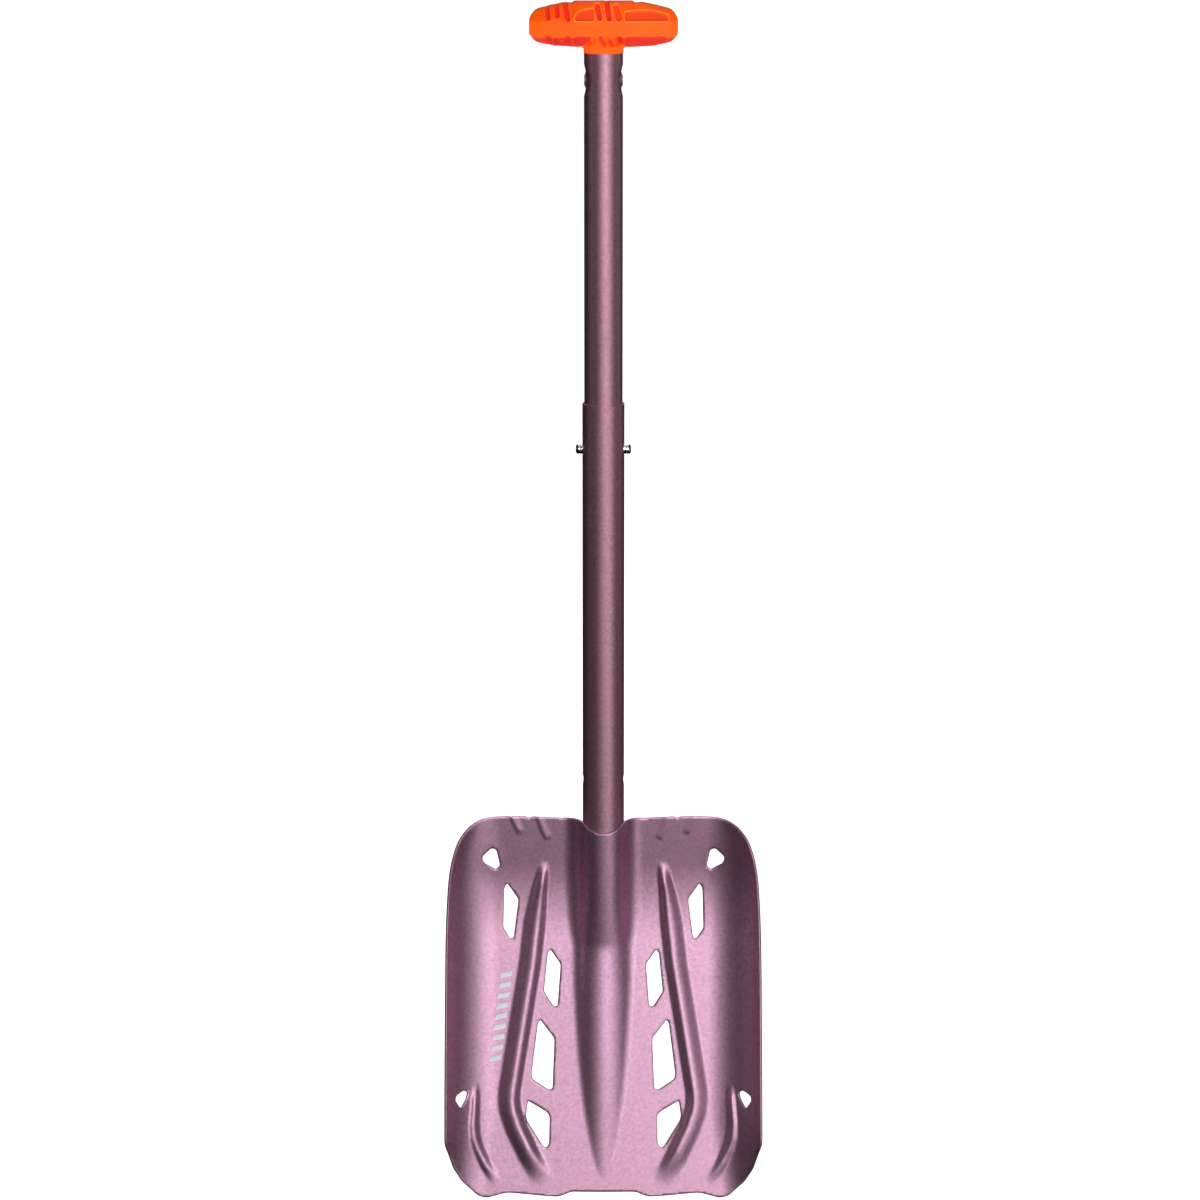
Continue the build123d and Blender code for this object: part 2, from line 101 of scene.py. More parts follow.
def ramp(nt, fac, stops):
    r = nt.nodes.new("ShaderNodeValToRGB")
    cr = r.color_ramp
    while len(cr.elements) < len(stops):
        cr.elements.new(0.5)
    for e, (p, c) in zip(cr.elements, stops):
        e.position = p
        e.color = (*c, 1) if len(c) == 3 else c
    nt.links.new(fac, r.inputs["Fac"])
    return r.outputs["Color"]


def maprange(nt, fac, a, b, c, d):
    m = nt.nodes.new("ShaderNodeMapRange")
    m.inputs["From Min"].default_value = a
    m.inputs["From Max"].default_value = b
    m.inputs["To Min"].default_value = c
    m.inputs["To Max"].default_value = d
    nt.links.new(fac, m.inputs["Value"])
    return m.outputs["Result"]


def mix_color(nt, fac, a, b, mode="MIX"):
    m = nt.nodes.new("ShaderNodeMix")
    m.data_type = "RGBA"
    m.blend_type = mode
    if isinstance(fac, float):
        m.inputs["Factor"].default_value = fac
    else:
        nt.links.new(fac, m.inputs["Factor"])
    for sock, v in ((m.inputs["A"], a), (m.inputs["B"], b)):
        pass
    ia, ib = [i for i in m.inputs if i.name == "A" and i.type == "RGBA"][0], \
             [i for i in m.inputs if i.name == "B" and i.type == "RGBA"][0]
    for sock, v in ((ia, a), (ib, b)):
        if isinstance(v, tuple):
            sock.default_value = (*v, 1) if len(v) == 3 else v
        else:
            nt.links.new(v, sock)
    return [o for o in m.outputs if o.type == "RGBA"][0]


def bump(nt, bsdf, height, strength, distance):
    b = nt.nodes.new("ShaderNodeBump")
    b.inputs["Strength"].default_value = strength
    b.inputs["Distance"].default_value = distance
    nt.links.new(height, b.inputs["Height"])
    nt.links.new(b.outputs["Normal"], bsdf.inputs["Normal"])


def edge_wear(nt, low, high):
    g = nt.nodes.new("ShaderNodeNewGeometry")
    return maprange(nt, g.outputs["Pointiness"], low, high, 0.0, 1.0)


def anodised(name, base, rough, wear=0.5):
    """Bead-blasted, dyed aluminium: fine sparkle, slow colour drift, bright
    rubbed edges."""
    mat, nt, bsdf = new_material(name)
    v = coords(nt)
    fine = noise(nt, v, 1500, 1.0)
    mid = noise(nt, v, 420, 3.0, 0.6)
    slow = noise(nt, v, 9, 2.0)
    dark = tuple(c * 0.80 for c in base)
    light = tuple(min(1, c * 1.18) for c in base)
    grain = ramp(nt, mid, [(0.30, dark), (0.50, base), (0.72, light)])
    warm = tuple(min(1, c * k) for c, k in zip(base, (1.05, 0.97, 0.98)))
    tone = mix_color(nt, maprange(nt, slow, 0.3, 0.7, 0.0, 0.45), grain, warm)
    worn = (0.84, 0.74, 0.78)
    fac = edge_wear(nt, 0.535, 0.60)
    m = nt.nodes.new("ShaderNodeMath")
    m.operation = "MULTIPLY"
    m.inputs[1].default_value = wear
    nt.links.new(fac, m.inputs[0])
    nt.links.new(mix_color(nt, m.outputs[0], tone, worn), bsdf.inputs["Base Color"])
    bsdf.inputs["Metallic"].default_value = 1.0
    nt.links.new(maprange(nt, fine, 0.25, 0.75, rough - 0.05, rough + 0.07), bsdf.inputs["Roughness"])
    bump(nt, bsdf, fine, 0.10, 0.00012)
    return mat


def polished(name, base, rough):
    mat, nt, bsdf = new_material(name)
    v = coords(nt)
    scratch = noise(nt, v, 2600, 2.0)
    nt.links.new(ramp(nt, noise(nt, v, 300, 2.0), [(0.3, tuple(c * 0.9 for c in base)), (0.7, base)]), bsdf.inputs["Base Color"])
    bsdf.inputs["Metallic"].default_value = 1.0
    nt.links.new(maprange(nt, scratch, 0.3, 0.7, rough, rough + 0.10), bsdf.inputs["Roughness"])
    bump(nt, bsdf, scratch, 0.05, 0.00005)
    return mat


def moulded(name, base, rough, specular=0.5, subsurface=0.0, grain=900.0):
    mat, nt, bsdf = new_material(name)
    v = coords(nt)
    tex = noise(nt, v, grain, 3.0, 0.6)
    slow = noise(nt, v, 30, 2.0)
    dark = tuple(c * 0.90 for c in base)
    col = ramp(nt, slow, [(0.3, dark), (0.7, base)])
    col = mix_color(nt, maprange(nt, edge_wear(nt, 0.53, 0.60), 0, 1, 0.0, 0.35), col,
                    tuple(min(1, c * 1.25 + 0.03) for c in base))
    nt.links.new(col, bsdf.inputs["Base Color"])
    nt.links.new(maprange(nt, tex, 0.25, 0.75, rough - 0.04, rough + 0.08), bsdf.inputs["Roughness"])
    bsdf.inputs["Specular IOR Level"].default_value = specular
    bump(nt, bsdf, tex, 0.12, 0.00010)
    return mat


MAT_BLADE = anodised("blade_anodised", (0.535, 0.315, 0.435), 0.48, 0.35)
MAT_SHAFT = anodised("shaft_anodised", (0.59, 0.32, 0.415), 0.50, 0.25)
MAT_WELD = anodised("weld_anodised", (0.50, 0.33, 0.41), 0.42, 0.0)
MAT_STRAP = anodised("strap_anodised", (0.535, 0.315, 0.435), 0.48, 0.0)
MAT_STEEL = polished("polished_steel", (0.82, 0.82, 0.84), 0.14)
MAT_SPRING = polished("spring_steel", (0.55, 0.55, 0.58), 0.26)


def grip_material():
    mat, nt, bsdf = new_material("grip_orange_moulded")
    v = coords(nt)
    tex = noise(nt, v, 900, 3.0, 0.6)
    slow = noise(nt, v, 30, 2.0)
    col = ramp(nt, slow, [(0.3, (0.92, 0.086, 0.0)), (0.7, (0.98, 0.105, 0.0))])
    recess_shade = nt.nodes.new("ShaderNodeAttribute")
    recess_shade.attribute_name = "recess_shade"
    lip = nt.nodes.new("ShaderNodeAttribute")
    lip.attribute_name = "lip"
    # painted shade: slots and panels are mixed towards deep red by their depth, standing in for the shade inside the
    # recesses
    col = mix_color(nt, maprange(nt, recess_shade.outputs["Fac"], 0.35, 0.95, 0.0, 0.9), col, (0.82, 0.006, 0.020))
    # painted highlight: the raised lips round the panels and slots are mixed towards light orange, as where they
    # catch the light
    col = mix_color(nt, maprange(nt, lip.outputs["Fac"], 0.1, 1.0, 0.0, 0.8), col, (1.0, 0.27, 0.045))
    # painted shade: the underside of the bar, below the lower ridge and beside the collar, is mixed towards dark red
    under = nt.nodes.new("ShaderNodeAttribute")
    under.attribute_name = "under"
    col = mix_color(nt, maprange(nt, under.outputs["Fac"], 0.0, 1.0, 0.0, 0.85), col, (0.50, 0.006, 0.008))
    nt.links.new(col, bsdf.inputs["Base Color"])
    nt.links.new(maprange(nt, tex, 0.25, 0.75, 0.44, 0.56), bsdf.inputs["Roughness"])
    bsdf.inputs["Specular IOR Level"].default_value = 0.15
    # painted glow: the grip gives off a faint orange light of its own, though it is no lamp
    bsdf.inputs["Emission Color"].default_value = (1.0, 0.10, 0.0, 1)
    bsdf.inputs["Emission Strength"].default_value = 0.07
    bump(nt, bsdf, tex, 0.12, 0.00010)
    return mat


MAT_ORANGE = grip_material()
MAT_NYLON = moulded("black_nylon_moulded", (0.022, 0.022, 0.024), 0.5)
MAT_PRINT = moulded("pale_print", (0.62, 0.66, 0.70), 0.5)


def assign(name, mat):
    ob = frame["nodes"][name]
    me = ob.data
    if not me.materials:
        me.materials.append(mat)
    for i in range(len(me.materials)):
        me.materials[i] = mat
        if i < len(ob.material_slots):
            ob.material_slots[i].material = mat


for n in ("socket_strap",):
    assign(n, MAT_STRAP)
for n in ("weld_seam_left", "weld_seam_right"):
    assign(n, MAT_WELD)
for n in ("left_lock_pin", "right_lock_pin", "grip_rivet", "blade_lock_button"):
    assign(n, MAT_STEEL)
for n in ("blade_lock_spring", "lock_pin_spring"):
    assign(n, MAT_SPRING)
for n in ("foot_plug", "guide_plug", "grip_core"):
    assign(n, MAT_NYLON)


def mesh_object(name, verts, faces, mat, smooth=True):
    me = bpy.data.meshes.new(name)
    me.from_pydata(verts, [], faces)
    me.validate()
    me.update()
    me.materials.append(mat)
    ob = bpy.data.objects.new(name, me)
    bpy.context.scene.collection.objects.link(ob)
    if smooth:
        for p in me.polygons:
            p.use_smooth = True
    return ob


# =====================================================================
# blade: one pressed sheet, rebuilt finely from its own shape function
# =====================================================================
SHEET = 2.0
BLADE_TOP, BLADE_HALF = 289.0, 123.2
WEB_Y, BEND_HI, BEND_LO = 1.0, 253.0, 194.0
LEAN = radians(16.0)
SOCKET_R, CREASE_Z, TIP_Z = 18.3, 189.0, 15.0
CORNER_R = 56.0
BEND_R = (BEND_HI - BEND_LO) / sin(LEAN)
BEND_Y = WEB_Y - BEND_R * (1 - cos(LEAN))


def web_y(z):
    if z >= BEND_HI:
        return WEB_Y
    if z >= BEND_LO:
        return WEB_Y - BEND_R + sqrt(BEND_R**2 - (BEND_HI - z) ** 2)
    return BEND_Y - tan(LEAN) * (BEND_LO - z)


CREST_SLOPE = (-SOCKET_R - web_y(TIP_Z)) / (CREASE_Z - TIP_Z)


def crest_y(z):
    d, r = CREASE_Z - z, 5.0
    if d <= -r:
        return -SOCKET_R
    if d < r:
        return -SOCKET_R - CREST_SLOPE * (d + r) ** 2 / (4 * r)
    full = CREASE_Z - TIP_Z - r
    return -SOCKET_R - CREST_SLOPE * d - 0.8 * sin(pi * min(1.0, (d - r) / full)) ** 2


def smooth(t):
    t = min(1.0, max(0.0, t))
    return t * t * (3 - 2 * t)


def bulge(w, z):
    h = web_y(z) - crest_y(z)
    if h <= 0:
        return 0.0
    rf = 16.8 - 4.5 * smooth((235 - z) / 60.0)
    rc = SOCKET_R + 12.0 * smooth((235 - z) / 85.0)
    phi = acos(max(-1.0, min(1.0, 1 - h / (rc + rf))))
    a, b = rc * sin(phi), (rc + rf) * sin(phi)
    if w <= a:
        return h - rc + sqrt(rc**2 - w * w)
    if w < b:
        return rf - sqrt(rf * rf - (b - w) ** 2)
    return 0.0


def side_wall(w, z):
    w0 = 82.0 + 11.0 * smooth((70 - z) / 80.0)
    a = BLADE_HALF - w0
    r = 1.12 * a
    zc, wc = BLADE_TOP - CORNER_R, BLADE_HALF - CORNER_R
    fade, we = 1.0, w
    if z > zc:
        dz, dw = z - zc, max(w - wc, 0.0)
        we = wc + hypot(dw, dz)
        fade = 1 - smooth(degrees(atan2(dz, dw)) / 75.0)
    d = we - w0
    if d <= 0:
        return 0.0
    dm = min(d, a)
    v = r - sqrt(r * r - dm * dm)
    if d > a:
        v += (d - a) * a / sqrt(r * r - a * a)
    return fade * v


LONG_RIB = [(44.9, 254.6), (46.8, 241.0), (48.8, 228.3), (55.0, 175.1), (63.4, 125.2),
            (69.2, 90.0), (70.9, 80.0), (71.2, 73.0), (70.2, 65.5), (65.8, 53.0),
            (55.7, 32.7), (42.5, 10.4)]
SHORT_RIB = [(98.7, 88.0), (99.6, 69.7), (100.4, 56.7), (99.6, 46.0), (97.2, 37.8),
             (91.4, 25.3), (81.3, 9.9)]
STEP_RIBS = [[(51.2, 290.5), (47.6, 280.0), (43.6, 271.0)],
             [(71.6, 290.5), (68.3, 283.0), (64.6, 275.5)]]


def rib(w, z, path, height, outer, inner, rise, run_out, grow=0.5):
    best, total = None, 0.0
    for (x1, z1), (x2, z2) in zip(path, path[1:]):
        dx, dz = x2 - x1, z2 - z1
        length = hypot(dx, dz)
        t = ((w - x1) * dx + (z - z1) * dz) / length**2
        tt = min(1.0, max(0.0, t))
        d = hypot(w - x1 - tt * dx, z - z1 - tt * dz)
        side = dx * (z - z1) - dz * (w - x1)
        if best is None or d < best[0]:
            best = (d, side, total + tt * length)
        total += length
    d, side, s = best
    # blend the two widths across the crest so that the crest stays smooth
    m = smooth(0.5 + 0.5 * (d if side > 0 else -d) / 1.5)
    width = inner + (outer - inner) * m
    width *= (1 - grow) + grow * smooth(s / 55.0)
    if d >= width:
        return 0.0
    ends = smooth(s / rise) * smooth((total - s) / run_out)
    u = d / width
    prof = (1 - u * u) ** 1.6
    return height * ends * prof


def near(path, w, z, m):
    xs = [p[0] for p in path]
    zs = [p[1] for p in path]
    return min(xs) - m < w < max(xs) + m and min(zs) - m < z < max(zs) + m


def front_y(x, z):
    w = abs(x)
    y = web_y(z) - bulge(w, z) - side_wall(w, z)
    if near(LONG_RIB, w, z, 13):
        y -= rib(w, z, LONG_RIB, 4.3, 11.0, 7.0, 20.0, 34.0, 0.5)
    if near(SHORT_RIB, w, z, 8):
        y -= rib(w, z, SHORT_RIB, 2.1, 4.8, 4.6, 16.0, 22.0, 0.35)
    for path in STEP_RIBS:
        if near(path, w, z, 6):
            y -= rib(w, z, path, 0.55, 2.2, 4.6, 1.0, 2.6, 0.0)
    return y


def front_normal(x, z):
    e = 0.15
    fx = (front_y(x + e, z) - front_y(x - e, z)) / (2 * e)
    fz = (front_y(x, z + e) - front_y(x, z - e)) / (2 * e)
    n = sqrt(fx * fx + 1 + fz * fz)
    return (-fx / n, 1 / n, -fz / n)        # towards the back


OUTLINE_TOP = [(0.0, 280.5), (4.0, 280.8), (8.0, 282.0), (11.5, 283.7), (14.0, 285.3),
               (16.2, 286.8), (19.0, 288.0), (24.0, 288.4), (31.9, 288.2)]
OUTLINE_STEP = [(31.9, 288.1), (41.9, 288.6), (46.0, 288.9), (50.9, 289.2), (54.6, 289.2),
                (55.8, 288.6), (57.4, 288.3), (58.8, 288.7), (60.2, 289.2), (66.0, 289.5),
                (71.0, 289.6), (76.5, 289.3)]
OUTLINE_CORNER = [(76.5, 289.3), (86.5, 288.9), (95.5, 287.4), (103.2, 283.6),
                  (109.2, 277.9), (113.2, 271.8), (116.4, 263.0),
                  (118.6, 253.7), (120.0, 244.4), (121.0, 232.0),
                  (122.0, 212.0), (122.6, 184.0), (122.9, 120.0), (123.0, 80.0)]
OUTLINE_LOW = [(123.0, 80.0), (123.0, 46.9), (116.3, 24.9),
               (109.7, 13.6), (97.5, 1.7), (90.4, 0.0),
               (77.2, 3.5), (72.5, 3.9), (44.3, 1.4), (34.5, 0.9),
               (25.2, 4.6), (0.0, 4.4)]
HOLES = [
    [(86.9, 264.6), (82.9, 263.0), (80.1, 249.6), (83.7, 246.6), (93.2, 252.4), (94.6, 257.6)],
    [(74.9, 236.4), (65.8, 223.3), (69.7, 193.6), (72.8, 193.2), (78.4, 201.3), (77.6, 232.2)],
    [(41.2, 185.6), (32.9, 174.4), (35.3, 142.9), (38.8, 142.2), (46.7, 153.8), (43.6, 183.2)],
    [(49.1, 133.2), (37.7, 119.0), (39.2, 81.4), (42.5, 80.2), (55.5, 88.4), (56.3, 92.4), (51.3, 130.6)],
    [(59.0, 73.0), (43.4, 64.2), (41.4, 60.6), (41.9, 40.3), (44.3, 37.2), (46.9, 38.0), (59.8, 57.8), (60.6, 61.6)],
    [(108.1, 83.0), (105.0, 81.3), (105.6, 76.6), (110.1, 69.0), (114.6, 76.8), (114.0, 80.2)],
]


def catmull(points, step):
    out = []
    for i in range(len(points) - 1):
        p1, p2 = points[i], points[i + 1]
        p0 = points[i - 1] if i else (2 * p1[0] - p2[0], 2 * p1[1] - p2[1])
        p3 = points[i + 2] if i + 2 < len(points) else (2 * p2[0] - p1[0], 2 * p2[1] - p1[1])
        n = max(1, int(round(hypot(p2[0] - p1[0], p2[1] - p1[1]) / step)))
        for k in range(n):
            t = k / n
            out.append(tuple(
                0.5 * (2 * b + (c - a) * t + (2 * a - 5 * b + 4 * c - d) * t * t
                       + (3 * b - a - 3 * c + d) * t**3)
                for a, b, c, d in zip(p0, p1, p2, p3)))
    out.append(points[-1])
    return out


def round_corners(points, radius, step, closed):
    """Polyline with each corner replaced by a small curve, then resampled."""
    n = len(points)
    dense = []
    for i in range(n):
        if not closed and i in (0, n - 1):
            dense.append(points[i])
            continue
        p, a, b = points[i], points[i - 1], points[(i + 1) % n]
        la, lb = hypot(a[0] - p[0], a[1] - p[1]), hypot(b[0] - p[0], b[1] - p[1])
        c = min(radius, 0.45 * la, 0.45 * lb)
        s = (p[0] + (a[0] - p[0]) * c / la, p[1] + (a[1] - p[1]) * c / la)
        e = (p[0] + (b[0] - p[0]) * c / lb, p[1] + (b[1] - p[1]) * c / lb)
        for k in range(5):
            t = k / 4
            dense.append(tuple((1 - t) ** 2 * u + 2 * t * (1 - t) * v + t * t * w
                               for u, v, w in zip(s, p, e)))
    out = []
    m = len(dense)
    for i in range(m if closed else m - 1):
        p, q = dense[i], dense[(i + 1) % m]
        L = hypot(q[0] - p[0], q[1] - p[1])
        k = max(1, int(round(L / step)))
        for j in range(k):
            out.append((p[0] + (q[0] - p[0]) * j / k, p[1] + (q[1] - p[1]) * j / k))
    if not closed:
        out.append(dense[-1])
    return out


def capsule(p, a, b):
    dx, dz = b[0] - a[0], b[1] - a[1]
    t = max(0, min(1, ((p[0] - a[0]) * dx + (p[1] - a[1]) * dz) / (dx * dx + dz * dz)))
    return hypot(p[0] - a[0] - t * dx, p[1] - a[1] - t * dz)


def poly_sdf(p, poly):
    d, inside = 1e9, False
    n = len(poly)
    for i in range(n):
        a, b = poly[i], poly[(i + 1) % n]
        d = min(d, capsule(p, a, b))
        if (a[1] > p[1]) != (b[1] > p[1]) and p[0] < (b[0] - a[0]) * (p[1] - a[1]) / (b[1] - a[1]) + a[0]:
            inside = not inside
    return -d if inside else d


GRID = 1.5
half = (catmull(OUTLINE_TOP, 1.2)[:-1] + catmull(OUTLINE_STEP, 1.2)[:-1]
        + catmull(OUTLINE_CORNER, 1.5)[:-1] + round_corners(OUTLINE_LOW, 3.0, 1.4, False))


def pulled_in(x, z):
    """Front point whose back corner, one sheet behind it, lands on the outline."""
    px, pz = x, z
    for _ in range(6):
        n = front_normal(px, pz)
        px, pz = x - n[0] * SHEET, z - n[2] * SHEET
        if x == 0.0:
            px = 0.0
    return (min(px, x) if x > 0 else px, pz if z < 40 else min(pz, z))


half = [pulled_in(x, z) for x, z in half]
outline = half + [(-x, z) for x, z in reversed(half[1:-1])]
loops = [outline]
for h in HOLES:
    for s in (1, -1):
        loops.append(round_corners([(s * x, z) for x, z in h], 2.4, 1.1, True))


def build_blade():
    pts, edges, fixed = [], [], []
    for loop in loops:
        base = len(pts)
        pts += loop
        edges += [(base + i, base + (i + 1) % len(loop)) for i in range(len(loop))]
    cell = 3.0
    buckets = {}
    for p in pts:
        buckets.setdefault((int(p[0] // cell), int(p[1] // cell)), []).append(p)

    def close(x, z, r):
        cx, cz = int(x // cell), int(z // cell)
        for i in (-1, 0, 1):
            for j in (-1, 0, 1):
                for q in buckets.get((cx + i, cz + j), ()):
                    if (q[0] - x) ** 2 + (q[1] - z) ** 2 < r * r:
                        return True
        return False

    nx = int(124 / GRID)
    rows = int(292 / (GRID * 0.9))
    for j in range(rows):
        z = j * GRID * 0.9
        off = 0.5 * GRID if j % 2 else 0.0
        row = [off + i * GRID for i in range(nx)]
        for x in row:
            for s in ((1, -1) if x > 1e-6 else (1,)):
                if not close(s * x, z, GRID * 0.62):
                    pts.append((s * x, z))
    res = geometry.delaunay_2d_cdt([Vector(p) for p in pts], edges, [], 1, 1e-6)
    out_v, out_f = res[0], res[2]
    flat = [(v.x, v.y) for v in out_v]
    tris = []
    boxes = [(min(p[0] for p in h), max(p[0] for p in h), min(p[1] for p in h), max(p[1] for p in h), h)
             for h in loops[1:]]
    for f in out_f:
        cx = sum(flat[i][0] for i in f) / 3
        cz = sum(flat[i][1] for i in f) / 3
        if not any(x0 < cx < x1 and z0 < cz < z1 and poly_sdf((cx, cz), h) < 0
                   for x0, x1, z0, z1, h in boxes):
            tris.append(tuple(f))
    # boundary edges, each used once
    seen = {}
    for t in tris:
        for a, b in zip(t, t[1:] + t[:1]):
            k = (min(a, b), max(a, b))
            seen[k] = None if k in seen else (a, b)
    border = [e for e in seen.values() if e is not None]
    nxt, prv = {}, {}
    for a, b in border:
        nxt[a], prv[b] = b, a
    verts, front, back = [], [], []
    data = []
    for x, z in flat:
        y = front_y(x, z)
        n = front_normal(x, z)
        data.append((Vector((x, y, z)), Vector(n)))
    for p, n in data:
        front.append(len(verts))
        verts.append(p)
    for p, n in data:
        back.append(len(verts))
        verts.append(p + n * SHEET)
    faces = []
    # orientation: front faces look to -Y
    a, b, c = tris[0]
    pa, pb, pc = data[a][0], data[b][0], data[c][0]
    flip = (pb - pa).cross(pc - pa).y > 0
    for t in tris:
        f = t[::-1] if flip else t
        faces.append(tuple(front[i] for i in f))
        faces.append(tuple(back[i] for i in f[::-1]))
    # rounded rim: two extra rings pushed slightly outwards
    ring = {}
    for a in nxt:
        if a not in prv:
            continue
        p, n = data[a]
        t = (data[nxt[a]][0] - data[prv[a]][0]).normalized()
        o = t.cross(n)
        mid = (data[nxt[a]][0] + data[prv[a]][0]) / 2
        ids = []
        for dep, push in ((0.22, 0.20), (0.6, 0.34), (1.0, 0.38), (1.4, 0.34), (1.78, 0.20)):
            ids.append((p, n, o, dep, push))
        ring[a] = ids
    # outward sign: away from the material, found with a triangle of the edge
    owner = {}
    for t in tris:
        for a, b in zip(t, t[1:] + t[:1]):
            if seen.get((min(a, b), max(a, b))) == (a, b):
                owner[a] = [k for k in t if k not in (a, b)][0]
    ids_of = {}
    for a, items in ring.items():
        k = owner.get(a)
        if k is None:
            continue
        o = items[0][2]
        sgn = -1 if (data[k][0] - data[a][0]).dot(o) > 0 else 1
        ids_of[a] = []
        for p, n, o, dep, push in items:
            ids_of[a].append(len(verts))
            verts.append(p + n * (dep * SHEET / 2.0) + o * sgn * push)
    for a, b in border:
        if a in ids_of and b in ids_of:
            ca = [front[a]] + ids_of[a] + [back[a]]
            cb = [front[b]] + ids_of[b] + [back[b]]
            for k in range(len(ca) - 1):
                q = (ca[k], ca[k + 1], cb[k + 1], cb[k])
                faces.append(q if not flip else q[::-1])
    verts = [(v.x * MM, (SY + v.y) * MM, max(v.z, 0.02) * MM) for v in verts]
    ob = mesh_object("blade_sheet", verts, faces, MAT_BLADE)
    bm = bmesh.new()
    bm.from_mesh(ob.data)
    bmesh.ops.recalc_face_normals(bm, faces=bm.faces)
    bm.to_mesh(ob.data)
    bm.free()
    for p in ob.data.polygons:
        p.use_smooth = True
    return ob


blade = build_blade()
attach(blade, "blade_body")
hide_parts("blade")

# =====================================================================
# printed mark: a generic row of slanted bars beside the left rib
# =====================================================================


def surface_point(x, z, lift):
    n = front_normal(x, z)
    return ((x - n[0] * lift) * MM, (SY + front_y(x, z) - n[1] * lift) * MM, (z - n[2] * lift) * MM)


def build_print():
    verts, faces = [], []
    start, end = Vector((-88.6, 101.5)), Vector((-79.6, 171.5))
    along = (end - start).normalized()
    across = Vector((along.y, -along.x))
    total = (end - start).length
    count, width = 9, 8.8
    pitch = total / count
    for i in range(count):
        a = start + along * (pitch * i)
        quad = [a, a + along * (pitch * 0.52), a + along * (pitch * 0.52 + 3.0) + across * width,
                a + along * 3.0 + across * width]
        nu, nv = 4, 10
        base = len(verts)
        for v in range(nv + 1):
            for u in range(nu + 1):
                s, t = u / nu, v / nv
                p = (quad[0] * (1 - s) + quad[1] * s) * (1 - t) + (quad[3] * (1 - s) + quad[2] * s) * t
                verts.append(surface_point(p.x, p.y, 0.06))
        for v in range(nv):
            for u in range(nu):
                k = base + v * (nu + 1) + u
                faces.append((k, k + 1, k + nu + 2, k + nu + 1))
    ob = mesh_object("blade_print", verts, faces, MAT_PRINT)
    skin = ob.modifiers.new("ink_thickness", "SOLIDIFY")
    skin.thickness = 0.05 * MM
    skin.offset = 0.0
    return ob


mark = build_print()
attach(mark, "blade_body")

# =====================================================================
# upper shaft: tube with swaged dimples at the rivet, holes at the pins
# =====================================================================
UPPER_R, UPPER_RI = 14.55, 13.35
UPPER_Z0, UPPER_Z1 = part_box("upper_shaft")[0][2] / MM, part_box("upper_shaft")[1][2] / MM
PIN_Z = (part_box("left_lock_pin")[0][2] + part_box("left_lock_pin")[1][2]) / 2 / MM
RIVET_Z = (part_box("grip_rivet")[0][2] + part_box("grip_rivet")[1][2]) / 2 / MM


def dimple(y, z, sx):
    r = hypot(y, z - RIVET_Z)
    if r > 13.0:
        return 0.0
    if r < 4.6:
        return 0.75
    return 0.75 + 0.45 * smooth((r - 4.6) / 1.4) if r < 6.0 else 1.2 * (1 - smooth((r - 6.0) / 7.0))


